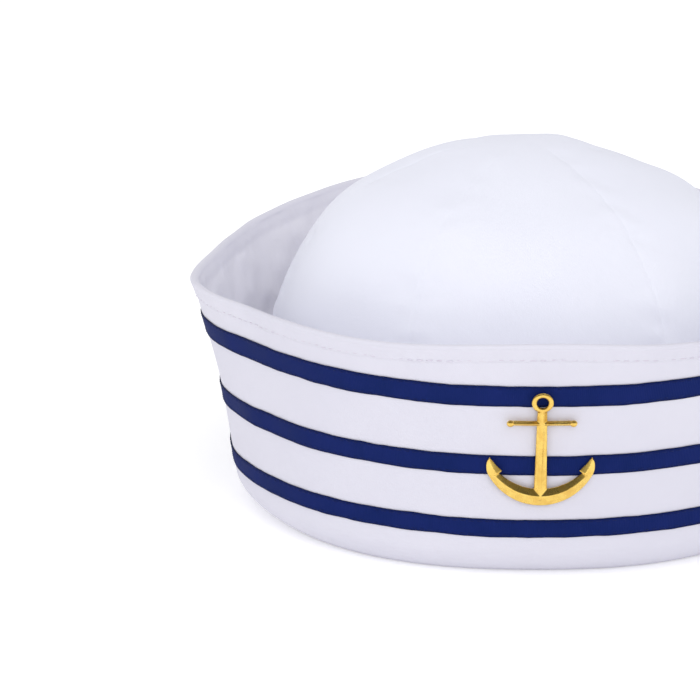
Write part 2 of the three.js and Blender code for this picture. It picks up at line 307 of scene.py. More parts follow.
def cotton(name, light, shade, crease):
    material, tree, shader = new_material(name)
    across, along = cloth_map(tree)
    place = add_node(tree, "ShaderNodeTexCoord").outputs["Object"]
    slant = add_math(tree, "ADD", across, add_math(tree, "MULTIPLY", along, TWILL_SLANT))
    warp, weft = ridges(tree, across, THREAD_PITCH), ridges(tree, along, THREAD_PITCH)
    threads = add_math(tree, "MULTIPLY", add_math(tree, "MULTIPLY", warp, weft), 0.5)
    weave = add_math(tree, "ADD", ridges(tree, slant, TWILL_PITCH), threads)
    tint = spread(tree, noise(tree, place, 22.0, 4.0), 0.35, 0.65, 0.0, 0.5)
    painted_crumple_shade = spread(tree, noise(tree, place, 95.0, 6.0), 0.36, 0.64)
    inside = add_node(tree, "ShaderNodeAttribute", attribute_name="inside").outputs["Fac"]
    # Inside, noise blotches push the colour to the darker tint: painted shade of crumpled cloth.
    share = add_math(tree, "ADD", tint, add_math(tree, "MULTIPLY", inside, painted_crumple_shade))
    colour = mix_colour(tree, add_math(tree, "MINIMUM", share, 1.0), light, shade)
    # Inside, the colour is mixed towards white: painted light in the shaded hollow of the brim.
    colour = mix_colour(tree, add_math(tree, "MULTIPLY", inside, INSIDE_LIGHT_SHARE), colour, INSIDE_PAINTED_LIGHT)
    creases = noise(tree, place, 55.0, 5.0)
    fine = noise(tree, place, 900.0, 3.0)
    deep = add_math(tree, "MULTIPLY", creases, add_math(tree, "ADD", inside, 1.0))
    soft = relief(tree, deep, crease, 1.0)
    woven = relief(tree, weave, 0.02 * MM, 0.8, soft)
    set_inputs(tree, shader, {
        "Base Color": colour,
        "Normal": relief(tree, fine, 0.05 * MM, 0.7, woven),
        "Roughness": spread(tree, fine, 0.3, 0.7, 0.82, 0.95),
        "Sheen Weight": 0.12,
        "Sheen Roughness": 0.6,
        "Specular IOR Level": 0.2,
    })
    return material


# Brim and crown are one cotton. The crown's tints are painted lighter and bluer, as painted light
# from above, and the brim's darker tints are painted shade on its upright wall.
brim_cotton_painted_shade_and_light = cotton("brim_cotton_painted_shade_and_light", (0.67, 0.66, 0.745, 1), (0.63, 0.62, 0.71, 1), 0.5 * MM)
crown_cotton_painted_light = cotton("crown_cotton_painted_light", (0.785, 0.795, 0.89, 1), (0.76, 0.77, 0.87, 1), 0.35 * MM)
print("cotton twill pitch:", TWILL_PITCH / MM, "mm")

# %% [markdown]
# ## The brim's face
# The brim flares outwards as it rises, is pushed out by a crease at each side, and is higher at
# the back. Its rim is found by halving: a ray either meets the brim or passes over it. Between the
# folded lower edge and the hem the face is one soft sweep, so a short polynomial in the height,
# fitted in every direction, takes all facets out of it and carries it on to both edges.

# %% Read the brim's rim and face
FACE_TERMS = 4


def rim_height(turn):
    low, high = brim_high.z / 2, brim_high.z
    while high - low > 0.02 * MM:
        middle = (low + high) / 2
        if math.isnan(outside_radius(brim_tree, turn, middle)):
            high = middle
        else:
            low = middle
    return low


rim_looks = np.array([rim_height(turn) for turn in look_turns])
face_shares = np.linspace(0.2, 0.86, 14)
face_looks = np.array([
    [outside_radius(brim_tree, turn, share * rim) for turn, rim in zip(look_turns, rim_looks)]
    for share in face_shares
])
face_terms = np.polynomial.polynomial.polyfit(face_shares, face_looks, FACE_TERMS)
print(f"rim {rim_looks.min() / MM:.1f} to {rim_looks.max() / MM:.1f} mm high")

# %% [markdown]
# ## The brim's section
# One strip of doubled cloth makes the brim. From the table its section rounds up into the outer
# face, meets the hem, turns over the rim and comes down inside. Then it rounds back under and up
# again inside the crown, where the seam holds both. The thickness is real: walls are modelled, not
# left to a modifier, because the hem's cloth is thicker on both faces and the fold closes under it.

# %% The brim's sizes and its columns
BRIM_COLUMNS = 720
WALL = 2.2 * MM
FOLD_HEIGHT = 10.8 * MM
FOLD_WIDTH = 9.7 * MM
HEM_DEPTH = 6.2 * MM
HEM_OUTSIDE = 0.4 * MM
HEM_INSIDE = 0.6 * MM
LIP_OUT = 0.6 * MM
LIP_DEPTH = 7.3 * MM
RIM_ROUND = 1.3 * MM
STITCH_DROP = 5.5 * MM
BELOW_HEM = 2 * MM
LEG_WALL = 1.0 * MM
LEG_HEIGHT = 8.5 * MM

brim_turns = np.arange(BRIM_COLUMNS) * math.tau / BRIM_COLUMNS
brim_rim = smooth_round(rim_looks, brim_turns)
brim_terms = smooth_round(face_terms, brim_turns)


def inside_radius(tree, turn, height):
    """How far the first face lies from the axis, looking outwards."""
    middle = Vector((0, axis_y, height))
    return (tree.ray_cast(middle, way_out(turn), FAR)[0] - middle).length


leg_looks = np.array([inside_radius(brim_tree, turn, LEG_HEIGHT / 2) for turn in look_turns])
leg_radius = smooth_round(leg_looks, brim_turns)
print(f"the leg inside the crown is {2 * leg_radius.min() / MM:.0f} mm wide")

# %% [markdown]
# ## Waves, puckers and a stitched groove
# Sewing shortens cloth along its stitches. The row of stitches at the hem therefore lies in a
# shallow groove, with small puckers above and below it. Wider waves come from handling. Both are
# sums added to the face, the same on its outside and inside, so that the wall keeps its thickness.
# The inside is crumpled a little besides, since nothing presses it flat.

# %% How far the brim's cloth strays from its smooth face
WIDE_WAVE = 0.28 * MM
WAVE_SIZE = 34 * MM
PUCKER = 0.17 * MM
PUCKER_PITCH = 6.4 * MM
PUCKER_SPREAD = 3.6 * MM
CRUMPLE_SIZE = 13 * MM
GROOVE, GROOVE_WIDTH = 0.16 * MM, 0.8 * MM
ROLL_DROP = 1.8 * MM
ROLL_GROOVE, ROLL_WIDTH = 0.12 * MM, 0.25 * MM


def brim_stray(height):
    """Outward stray of the cloth at these heights, for every column."""
    face = sum(term * (height / brim_rim) ** k for k, term in enumerate(brim_terms))
    places = round_points(brim_turns, face, height)
    free = ease((height - FOLD_HEIGHT / 2) / (2 * FOLD_HEIGHT))
    wide = WIDE_WAVE * free * soft_bumps(places, WAVE_SIZE, 11)
    below_rim = brim_rim - height
    near_row = hill(below_rim - STITCH_DROP, PUCKER_SPREAD)
    along_row = places * [1, 1, 0.15]
    pucker = PUCKER * near_row * soft_bumps(along_row, PUCKER_PITCH, 12)
    groove = -GROOVE * hill(below_rim - STITCH_DROP, GROOVE_WIDTH)
    groove = groove - ROLL_GROOVE * hill(below_rim - ROLL_DROP, ROLL_WIDTH)
    return face, wide + pucker, groove


def face_row(height, out, groove_share=0.0, crumple=0.0):
    """A row of the brim's section: heights, and radii that lie this far off the face."""
    height = np.broadcast_to(height, brim_turns.shape)
    face, stray, groove = brim_stray(height)
    lip = LIP_OUT * np.clip((height - brim_rim) / LIP_DEPTH + 1, 0, 1) ** 2
    radius = face + stray + lip + out + groove_share * groove
    if crumple:
        places = round_points(brim_turns, radius, height)
        radius = radius + crumple * soft_bumps(places, CRUMPLE_SIZE, 13)
    return height, radius


def tuck(height):
    """How far the lower edge turns in under the brim at this height."""
    return FOLD_WIDTH * np.clip(1 - height / FOLD_HEIGHT, 0, 1) ** 2


# %% [markdown]
# ## Rows of the brim
# The rows crowd where the cloth turns or is sewn, and are wide apart on the plain faces. That
# spends the points where light catches an edge, and stays under the limit for one piece. They go
# up the outside, so the net comes out with its faces inwards, and is turned over once it is made.

# %% Lay the rows of the outer face and the rim
FOLD_ROWS = 10
FOLD_CROWDING = 1.4
OUTER_ROWS = 36
RIM_ROWS = 11

brim_rows = []
hem_start = brim_rim - HEM_DEPTH - BELOW_HEM
for share in np.linspace(0, 1, FOLD_ROWS):
    level = FOLD_HEIGHT * share**FOLD_CROWDING
    brim_rows.append(face_row(level, -tuck(level)))
for share in np.linspace(0, 1, OUTER_ROWS + 1)[1:]:
    level = FOLD_HEIGHT + (hem_start - FOLD_HEIGHT) * share
    brim_rows.append(face_row(level, 0))
# Millimetres below the rim, and the share of the hem's own thickness.
hem_outside_rows = [
    (7.2, 0), (6.6, 0), (6.25, 0.1), (6.0, 0.75), (5.8, 1), (5.5, 1), (5.2, 1), (4.7, 1),
    (4.1, 1), (3.4, 1), (2.7, 1), (2.2, 1), (1.95, 1), (1.75, 1), (1.55, 1),
]
for drop, share in hem_outside_rows:
    brim_rows.append(face_row(brim_rim - drop * MM, HEM_OUTSIDE * share, groove_share=1))
rim_middle = (HEM_OUTSIDE - WALL - HEM_INSIDE) / 2
rim_half = (HEM_OUTSIDE + WALL + HEM_INSIDE) / 2
for bend in np.radians(np.linspace(0, 180, RIM_ROWS)):
    level = brim_rim - RIM_ROUND * (1 - math.sin(bend))
    brim_rows.append(face_row(level, rim_middle + rim_half * math.cos(bend)))
row_is_inside = [0] * len(brim_rows)
print(len(brim_rows), "rows up to the inner edge of the rim")

# %% Lay the rows of the inner face and the leg
INNER_ROWS = 30
INNER_FOLD_ROWS = 8
HEM_RAMP = 4
HEM_CRUMPLE = 0.1 * MM
INNER_CRUMPLE = 0.3 * MM

lowest_drop = hem_outside_rows[0][0]
for drop, _ in reversed(hem_outside_rows):
    out = -WALL - HEM_INSIDE * ease((lowest_drop - drop) / HEM_RAMP)
    brim_rows.append(face_row(brim_rim - drop * MM, out, 0, HEM_CRUMPLE))
# The inside share grows from the hem down the inner face, so the deeper, more shaded cloth gets more
# painted light and more painted crumple shade.
row_is_inside += list(np.linspace(0.1, 0.7, len(hem_outside_rows)))
fold_top = FOLD_HEIGHT + WALL
for share in np.linspace(1, 0, INNER_ROWS + 1)[:-1]:
    level = fold_top + (hem_start - fold_top) * share
    brim_rows.append(face_row(level, -WALL, 0, INNER_CRUMPLE))
row_is_inside += list(np.linspace(0.7, 1, INNER_ROWS))
for share in np.linspace(1, 0, INNER_FOLD_ROWS):
    level = FOLD_HEIGHT * share**FOLD_CROWDING
    brim_rows.append(face_row(WALL + level, -WALL - tuck(level)))
leg_outside = leg_radius + LEG_WALL
for level, radius in [
    (WALL, leg_outside + 0.4 * MM),
    (WALL + 0.4 * MM, leg_outside),
    (LEG_HEIGHT / 2, leg_outside),
    (LEG_HEIGHT - 0.4 * MM, leg_outside),
    (LEG_HEIGHT - 0.1 * MM, leg_outside - 0.25 * MM),
    (LEG_HEIGHT, leg_radius + LEG_WALL / 2),
    (LEG_HEIGHT - 0.1 * MM, leg_radius + 0.25 * MM),
    (LEG_HEIGHT - 0.4 * MM, leg_radius),
    (LEG_HEIGHT / 2, leg_radius),
    (1.2 * MM, leg_radius),
    (0.5 * MM, leg_radius + 0.2 * MM),
    (0.1 * MM, leg_radius + 0.7 * MM),
    (0.0, leg_radius + 1.5 * MM),
]:
    brim_rows.append((np.broadcast_to(level, brim_turns.shape), radius))
row_is_inside += [1] * (len(brim_rows) - len(row_is_inside))
print(len(brim_rows), "rows in the brim's section")

# %% Make the brim
brim_heights = np.array([height for height, radius in brim_rows])
brim_radii = np.array([radius for height, radius in brim_rows])
brim_points = round_points(brim_turns, brim_radii, brim_heights)
steps = np.hypot(np.diff(brim_heights, axis=0), np.diff(brim_radii, axis=0)).mean(axis=1)
along = np.concatenate([[0], np.cumsum(steps), [steps.sum() + steps[-1]]])
across = np.arange(BRIM_COLUMNS + 1) * math.tau / BRIM_COLUMNS * brim_radii.mean()
brim_flat = corner_places(*np.meshgrid(across, along, indexing="xy"))
# The inside share of each point: how much painted light and painted crumple shade the cotton puts
# there.
inside_share = np.repeat(np.array(row_is_inside, float)[:, None], BRIM_COLUMNS, axis=1)
brim = cloth_piece("brim_cloth", brim_points, brim_flat, brim_cotton_painted_shade_and_light, inside=inside_share)
brim.data.flip_normals()
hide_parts("brim")
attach(brim, "root")

# %% [markdown]
# ## The crown's form
# The crown is a soft dome. Rays from the middle of its lower edge, fanned from level to upright,
# measure it in every direction. Chebyshev polynomials in the fan's angle smooth it upwards, as
# they stay calm at both ends. Near the top the directions crowd together, so the curve round the
# axis is blurred more there, until only a round tip is left.

# %% Read the crown
CROWN_TERMS = 9
GORE_BLUR = math.radians(7)
CROWN_COLUMNS = 600
fan = np.radians(np.linspace(0.4, 89.6, 46))
crown_base = crown_low.z
crown_looks = np.array([
    [outside_radius(crown_tree, turn, crown_base, rise) for turn in look_turns] for rise in fan
])
fan_scale = fan / (math.pi / 2) * 2 - 1
crown_terms = np.polynomial.chebyshev.chebfit(fan_scale, crown_looks, CROWN_TERMS)
half_width = (crown_high.x - crown_low.x) / 2
half_depth = (crown_high.y - crown_low.y) / 2
print(f"crown {2 * half_width / MM:.0f} x {2 * half_depth / MM:.0f} mm")

# %% [markdown]
# ## Six gores
# Each gore is a pointed petal of cloth. Two gores meet in a seam: a narrow valley, with the spare
# cloth pressed to one side of it, which makes a flat band that stands a little higher. The columns
# of the net crowd at the seams, so that the valley is sharp there, and are wide between them.

# %% The crown's columns and its seams
GORES = 6
SEAM_DEPTH = 0.13 * MM
SEAM_WIDTH = 1.0 * MM
BAND_HEIGHT = 0.03 * MM
BAND_WIDTH = 6.5 * MM
CROWDING = 0.8

GORE = math.tau / GORES
even = np.arange(CROWN_COLUMNS + 1) * math.tau / CROWN_COLUMNS
edges = even + CROWDING * np.sin(GORES * even) / GORES
crown_angles = edges[:-1]
crown_turns = np.arctan2(half_width * np.sin(crown_angles), half_depth * np.cos(crown_angles))
nearest_seam = (np.floor(crown_angles / GORE) + 0.5) * GORE
seam_offset = crown_angles - nearest_seam


def seam_relief(ring_radius):
    """Height of the seams' relief where the ring has this radius, for every column."""
    beside = seam_offset * ring_radius
    valley = -SEAM_DEPTH * hill(beside, SEAM_WIDTH)
    band = ease(beside / (2 * MM)) * ease((BAND_WIDTH - beside) / MM)
    room = ease((ring_radius - 3 * MM) / (18 * MM))
    return room * (valley + BAND_HEIGHT * band)


print(f"widest step {np.diff(edges).max() * half_width / MM:.2f} mm, "
      f"at the seams {np.diff(edges).min() * half_width / MM:.2f} mm")

# %% [markdown]
# ## Soft dents in the crown
# Nothing stiffens the crown. It keeps wide soft dents, and small puckers run off its seams. They
# are added along the rays, like the seams. The rows go up the outside to the tip, and the same
# rows, set in by the cloth's thickness, come down inside, so the crown is hollow.

# %% Make the crown
CROWN_WALL = 1.4 * MM
OUTSIDE_ROWS, INSIDE_ROWS = 111, 29
DENT, DENT_SIZE = 0.6 * MM, 46 * MM
SEAM_PUCKER, SEAM_PUCKER_SIZE = 0.32 * MM, 7 * MM
TIP_RADIUS = 30 * MM
HELD_RISE = 0.3

outer_rises = np.radians(90 * np.linspace(0, 1, OUTSIDE_ROWS + 1)[:-1])
inner_rises = np.radians(90 * np.linspace(0, 1, INSIDE_ROWS + 1)[:-1])


def crown_row(rise, inwards):
    """Radii along the rays of one fan angle, for every column."""
    scale = rise / (math.pi / 2) * 2 - 1
    looks = np.polynomial.chebyshev.chebval(scale, crown_terms)
    blur = GORE_BLUR / max(math.cos(rise), 0.05)
    smooth = smooth_round(looks, crown_turns, blur)
    ring = smooth * math.cos(rise)
    places = round_points(crown_turns, ring, smooth * math.sin(rise))
    held = ease(rise / HELD_RISE)
    dents = DENT * held * soft_bumps(places, DENT_SIZE, 21)
    puckers = SEAM_PUCKER * held * hill(seam_offset * ring, SEAM_PUCKER_SIZE)
    puckers = puckers * soft_bumps(places * [0.4, 0.4, 1], SEAM_PUCKER_SIZE, 22)
    room = ease(ring.mean() / TIP_RADIUS)
    return smooth + room * (dents + puckers) + seam_relief(ring.mean()) - inwards


def crown_net(rises, inwards):
    radii = np.array([crown_row(rise, inwards) for rise in rises])
    flat = np.cos(rises)[:, None] * radii
    return round_points(crown_turns, flat, crown_base + np.sin(rises)[:, None] * radii)


top_radius = crown_row(math.radians(89.5), 0).mean()
top = (0, axis_y, crown_base + top_radius)
under_top = (0, axis_y, crown_base + top_radius - CROWN_WALL)
outer_net = crown_net(outer_rises, 0)
inner_net = crown_net(inner_rises, CROWN_WALL)
crown_points = np.concatenate([outer_net[::-1], inner_net])
rises = np.concatenate([outer_rises[::-1], inner_rises])
ring_radii = np.hypot(crown_points[..., 0], crown_points[..., 1] - axis_y).mean(axis=1)
gore_middles = np.round((edges[:-1] + edges[1:]) / 2 / GORE) * GORE
left = np.outer(ring_radii, edges[:-1] - gore_middles)
right = np.outer(ring_radii, edges[1:] - gore_middles)
up = np.repeat((rises * half_depth)[:, None], CROWN_COLUMNS, axis=1)
crown_corners = [(left[:-1], up[:-1]), (right[:-1], up[:-1]), (right[1:], up[1:]), (left[1:], up[1:])]
crown_flat = np.stack([np.stack(corner, axis=-1) for corner in crown_corners], axis=2)
# The crown's inside has half the inside share: half as much painted light and painted crumple shade
# as deep in the brim.
hidden = np.concatenate([np.zeros(len(outer_rises)), np.full(len(inner_rises), 0.5)])
hidden = np.repeat(hidden[:, None], CROWN_COLUMNS, axis=1)
crown = cloth_piece(
    "crown_cloth", crown_points, crown_flat, crown_cotton_painted_light, ends=(top, under_top), inside=hidden
)
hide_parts("crown")
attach(crown, "root")

# %% [markdown]
# ## Navy ribbon
# The ribbon is a fine grosgrain: its weft makes close ribs across it, and both edges are woven
# tighter and look darker. The ribs are far too many to model, so the material makes them from the
# ribbon's own length, and only its thickness and its uneven edges are real shapes.

# %% The ribbon's material
RIB_PITCH = 0.6 * MM


def ribbon_cloth():
    material, tree, shader = new_material("navy_grosgrain")
    length, side = cloth_map(tree)
    place = add_node(tree, "ShaderNodeTexCoord").outputs["Object"]
    tone = noise(tree, place, 90.0, 5.0)
    first, second = (0.0045, 0.014, 0.097, 1), (0.008, 0.0175, 0.117, 1)
    base = mix_colour(tree, spread(tree, tone, 0.3, 0.7), first, second)
    edge = spread(tree, add_math(tree, "ABSOLUTE", side), 0.72, 1.0)
    fine = noise(tree, place, 1500.0, 2.0)
    height = add_math(tree, "ADD", ridges(tree, length, RIB_PITCH), fine)
    set_inputs(tree, shader, {
        "Base Color": mix_colour(tree, edge, base, (0.004, 0.008, 0.048, 1)),
        "Normal": relief(tree, height, 0.035 * MM, 0.8),
        "Roughness": spread(tree, tone, 0.3, 0.7, 0.6, 0.75),
        "Sheen Weight": 0.015,
        "Sheen Roughness": 0.4,
        "Specular IOR Level": 0.05,
    })
    return material


navy = ribbon_cloth()
print("ribs every", RIB_PITCH / MM, "mm")

# %% [markdown]
# ## Ribbons laid by Geometry Nodes
# A ribbon follows a rule: it goes once round the brim at one height and lies flat on the cloth.
# Geometry Nodes state that rule. A grid stands for the ribbon's skin, wrapped round its own thin
# section. Each of its points is sent in as a ray at its turn and height, lands on the finished
# brim, and is lifted off it to its place in the section. A little noise makes the edges uneven.

# %% The tree that lays a ribbon
RIBBON_COLUMNS = 900
SECTION_POINTS = 21
EDGE_POWER, FACE_POWER = 0.4, 0.6
WAVER_ROUND = 9.0
MAPPED_RADIUS = 108 * MM


def join_xyz(tree, x=0.0, y=0.0, z=0.0):
    return add_node(tree, "ShaderNodeCombineXYZ", {0: x, 1: y, 2: z}).outputs[0]


def add_vectors(tree, first, second):
    inputs = {0: first, 1: second}
    return add_node(tree, "ShaderNodeVectorMath", inputs, operation="ADD").outputs[0]


def scale_vector(tree, vector, scale):
    inputs = {0: vector, "Scale": scale}
    return add_node(tree, "ShaderNodeVectorMath", inputs, operation="SCALE").outputs[0]


def new_geometry_tree(name, **labels):
    """An empty tree, with an input for each label. The labels are listed by kind of socket."""
    tree = bpy.data.node_groups.new(name, "GeometryNodeTree")
    tree.interface.new_socket("Geometry", in_out="INPUT", socket_type="NodeSocketGeometry")
    for kind, listed in labels.items():
        for label in listed:
            tree.interface.new_socket(label, in_out="INPUT", socket_type="NodeSocket" + kind)
    tree.interface.new_socket("Geometry", in_out="OUTPUT", socket_type="NodeSocketGeometry")
    return tree, tree.nodes.new("NodeGroupInput").outputs


def end_tree(tree, geometry, material):
    """Makes the geometry real and smooth, dresses it and hands it out."""
    whole = add_node(tree, "GeometryNodeRealizeInstances", {"Geometry": geometry})
    smooth = add_node(tree, "GeometryNodeSetShadeSmooth", {"Geometry": whole.outputs[0]})
    dressed = add_node(tree, "GeometryNodeSetMaterial", {
        "Geometry": smooth.outputs[0], "Material": material,
    })
    add_node(tree, "NodeGroupOutput", {"Geometry": dressed.outputs[0]})
    return tree


def ribbon_tree():
    tree, given = new_geometry_tree(
        "ribbon_round_the_brim", Object=["Brim"],
        Float=["Middle Height", "Width", "Thickness", "Clearance", "Axis Y", "Edge Waver", "Seed"],
        Material=["Ribbon"],
    )
    grid = add_node(tree, "GeometryNodeMeshGrid", {
        "Size X": 1.0, "Size Y": 1.0, "Vertices X": RIBBON_COLUMNS + 1, "Vertices Y": SECTION_POINTS,
    })
    place = add_node(tree, "GeometryNodeInputPosition").outputs[0]
    split = add_node(tree, "ShaderNodeSeparateXYZ", {0: place})
    turn = add_math(tree, "MULTIPLY", split.outputs[0], math.tau)
    bend = add_math(tree, "MULTIPLY", split.outputs[1], math.tau)
    sine, cosine = add_math(tree, "SINE", turn), add_math(tree, "COSINE", turn)

    def flattened(value, power):
        size = add_math(tree, "POWER", add_math(tree, "ABSOLUTE", value), power)
        return add_math(tree, "MULTIPLY", size, add_math(tree, "SIGN", value))

    side = flattened(add_math(tree, "COSINE", bend), EDGE_POWER)
    level = flattened(add_math(tree, "SINE", bend), FACE_POWER)
    edge_seed = add_math(tree, "ADD", given["Seed"], add_math(tree, "SIGN", side))
    lookup = scale_vector(tree, join_xyz(tree, sine, cosine), WAVER_ROUND)
    lookup = add_vectors(tree, lookup, join_xyz(tree, z=edge_seed))
    waver = add_math(tree, "SUBTRACT", noise(tree, lookup, 1.0, 3.0), 0.5)
    waver = add_math(tree, "MULTIPLY", waver, given["Edge Waver"])
    reach = add_math(tree, "ADD", add_math(tree, "MULTIPLY", given["Width"], 0.5), waver)
    height = add_math(tree, "ADD", given["Middle Height"], add_math(tree, "MULTIPLY", side, reach))
    inward = join_xyz(tree, sine, cosine)
    outward = scale_vector(tree, inward, -1.0)
    middle = join_xyz(tree, y=given["Axis Y"], z=height)
    target = add_node(
        tree, "GeometryNodeObjectInfo", {"Object": given["Brim"]}, transform_space="RELATIVE"
    )
    landed = add_node(tree, "GeometryNodeRaycast", {
        "Target Geometry": target.outputs["Geometry"],
        "Source Position": add_vectors(tree, scale_vector(tree, outward, FAR), middle),
        "Ray Direction": inward, "Ray Length": FAR,
    })
    above = add_math(tree, "MULTIPLY", add_math(tree, "ADD", level, 1.0), 0.5)
    above = add_math(tree, "MULTIPLY", above, given["Thickness"])
    lifted = scale_vector(tree, outward, add_math(tree, "ADD", given["Clearance"], above))
    length = add_math(tree, "MULTIPLY", turn, MAPPED_RADIUS)
    flat = join_xyz(tree, length, side)
    mapped = add_node(
        tree, "GeometryNodeStoreNamedAttribute",
        {"Geometry": grid.outputs["Mesh"], "Name": "cloth", "Value": flat},
        data_type="FLOAT2", domain="CORNER",
    )
    laid = add_node(tree, "GeometryNodeSetPosition", {
        "Geometry": mapped.outputs[0],
        "Position": add_vectors(tree, landed.outputs["Hit Position"], lifted),
    })
    closed = add_node(tree, "GeometryNodeMergeByDistance", {
        "Geometry": laid.outputs[0], "Distance": 0.005 * MM,
    })
    return end_tree(tree, closed.outputs[0], given["Ribbon"])


def run_tree(name, tree, values, start=None):
    """Runs a Geometry Nodes tree on its own object, and keeps the result as a plain mesh."""
    base = start or bpy.data.objects.new(name + "_base", bpy.data.meshes.new(name + "_base"))
    bpy.context.scene.collection.objects.link(base)
    modifier = base.modifiers.new("Nodes", "NODES")
    modifier.node_group = tree
    sockets = {item.name: item.identifier for item in tree.interface.items_tree
               if item.in_out == "INPUT"}
    for label, value in values.items():
        modifier[sockets[label]] = value
    graph = bpy.context.evaluated_depsgraph_get()
    mesh = bpy.data.meshes.new_from_object(base.evaluated_get(graph), depsgraph=graph)
    mesh.name = name
    base.modifiers.remove(modifier)
    bpy.data.objects.remove(base)
    print(f"{name}: {len(mesh.vertices)} points, {len(mesh.polygons)} faces")
    return put_in_scene(name, mesh)


# %% Lay the three ribbons
RIBBON_THICKNESS = 0.45 * MM
RIBBON_CLEARANCE = 0.06 * MM
EDGE_WAVER = 0.9 * MM
EDGE_INSET = 0.9 * MM

lay_ribbon = ribbon_tree()
sewn_edges = []
for seed, node in enumerate(("ribbon_upper", "ribbon_middle", "ribbon_lower")):
    low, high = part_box(node)
    ribbon = run_tree(node + "_cloth", lay_ribbon, {
        "Brim": brim, "Middle Height": (low.z + high.z) / 2, "Width": high.z - low.z,
        "Thickness": RIBBON_THICKNESS, "Clearance": RIBBON_CLEARANCE, "Axis Y": axis_y,
        "Edge Waver": EDGE_WAVER, "Seed": 10.0 * seed, "Ribbon": navy,
    })
    rays = ray_tree(ribbon.data)
    sewn_edges += [(rays, low.z + EDGE_INSET), (rays, high.z - EDGE_INSET)]
    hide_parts(node)
    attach(ribbon, "root")

# %% [markdown]
# ## Stitches
# Rows of stitches hold the hem and the ribbons. A stitch is a short thread that dips into the
# cloth at both ends. One small rounded grain is enough for it, and Geometry Nodes set hundreds of
# them along a path: the path is cut to the stitch pitch, each point takes a grain turned along the
# path, and a seeded random value varies its size and place, because a machine row isn't perfect.

# %% The thread and the tree that sews with it
def thread(name, light, dark):
    material, tree, shader = new_material(name)
    place = add_node(tree, "ShaderNodeTexCoord").outputs["Object"]
    tone = noise(tree, place, 600.0, 2.0)
    set_inputs(tree, shader, {
        "Base Color": mix_colour(tree, spread(tree, tone, 0.35, 0.65), light, dark),
        "Normal": relief(tree, tone, 0.08 * MM, 0.6),
        "Roughness": 0.7,
        "Sheen Weight": 0.02,
        "Specular IOR Level": 0.1,
    })
    return material


def stitch_tree():
    tree, given = new_geometry_tree(
        "row_of_stitches", Float=["Pitch", "Length", "Thread", "Unevenness"], Int=["Seed"],
        Material=["Colour"],
    )
    cut = add_node(tree, "GeometryNodeResampleCurve", {
        "Curve": given["Geometry"], "Length": given["Pitch"],
    }, mode="LENGTH")
    grain = add_node(tree, "GeometryNodeMeshUVSphere", {"Segments": 6, "Rings": 5, "Radius": 0.5})
    grain = add_node(tree, "GeometryNodeTransform", {
        "Geometry": grain.outputs["Mesh"],
        "Scale": join_xyz(tree, given["Length"], given["Thread"], given["Thread"]),
    })
    tangent = add_node(tree, "GeometryNodeInputTangent").outputs[0]
    turned = add_node(tree, "FunctionNodeAlignRotationToVector", {"Vector": tangent}, axis="X")
    size = add_node(tree, "FunctionNodeRandomValue", {
        "Min": (0.8, 0.85, 0.85), "Max": (1.12, 1.15, 1.15), "Seed": given["Seed"],
    }, data_type="FLOAT_VECTOR")
    sewn = add_node(tree, "GeometryNodeInstanceOnPoints", {
        "Points": cut.outputs[0], "Instance": grain.outputs[0],
        "Rotation": turned.outputs[0], "Scale": size.outputs[0],
    })
    down = add_math(tree, "MULTIPLY", given["Unevenness"], -1.0)
    stray = add_node(tree, "FunctionNodeRandomValue", {
        "Min": join_xyz(tree, z=down), "Max": join_xyz(tree, z=given["Unevenness"]),
        "Seed": given["Seed"],
    }, data_type="FLOAT_VECTOR")
    moved = add_node(tree, "GeometryNodeTranslateInstances", {
        "Instances": sewn.outputs[0], "Translation": stray.outputs[0],
    })
    moved.inputs["Local Space"].default_value = False
    return end_tree(tree, moved.outputs[0], given["Colour"])


# %% Paths for the rows of stitches
OFF_EDGE = 0.0001


def path_on(name, rows):
    """Closed curves round the axis. A row has a ray tree to lie on, its heights and its lifts."""
    curve = bpy.data.curves.new(name, "CURVE")
    curve.dimensions = "3D"
    for rays, heights, lifts in rows:
        spline = curve.splines.new("POLY")
        spline.use_cyclic_u = True
        spline.points.add(len(brim_turns) - 1)
        for point, turn, height, lift in zip(spline.points, brim_turns, heights, lifts):
            radius = outside_radius(rays, turn + OFF_EDGE, height) + lift
            spot = Vector((0, axis_y, height)) + way_out(turn) * radius
            point.co = (*spot, 1)
    return bpy.data.objects.new(name, curve)


# %% Sew the hem and the ribbons
STITCH_LIFT = 0.09 * MM
sew = stitch_tree()
white_thread = thread("white_thread", (0.68, 0.66, 0.75, 1), (0.62, 0.57, 0.66, 1))
navy_thread = thread("navy_thread", (0.004, 0.010, 0.070, 1), (0.009, 0.018, 0.105, 1))
hem_heights = brim_rim - STITCH_DROP
hem_places = round_points(brim_turns, brim_radii.max(), hem_heights)
hem_lift = STITCH_LIFT * soft_bumps(hem_places, 24 * MM, 31)
hem_path = path_on("hem_path", [(ray_tree(brim.data), hem_heights, hem_lift)])
hem_stitches = run_tree("hem_stitches", sew, {
    "Pitch": 3.4 * MM, "Length": 2.3 * MM, "Thread": 0.42 * MM, "Unevenness": 0.16 * MM,
    "Seed": 5, "Colour": white_thread,
}, hem_path)
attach(hem_stitches, "root")

unlifted = np.zeros(BRIM_COLUMNS)
level_rows = [(rays, np.full(BRIM_COLUMNS, height), unlifted) for rays, height in sewn_edges]
ribbon_stitches = run_tree("ribbon_stitches", sew, {
    "Pitch": 2.8 * MM, "Length": 2.1 * MM, "Thread": 0.3 * MM, "Unevenness": 0.1 * MM,
    "Seed": 9, "Colour": navy_thread,
}, path_on("edge_path", level_rows))
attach(ribbon_stitches, "root")

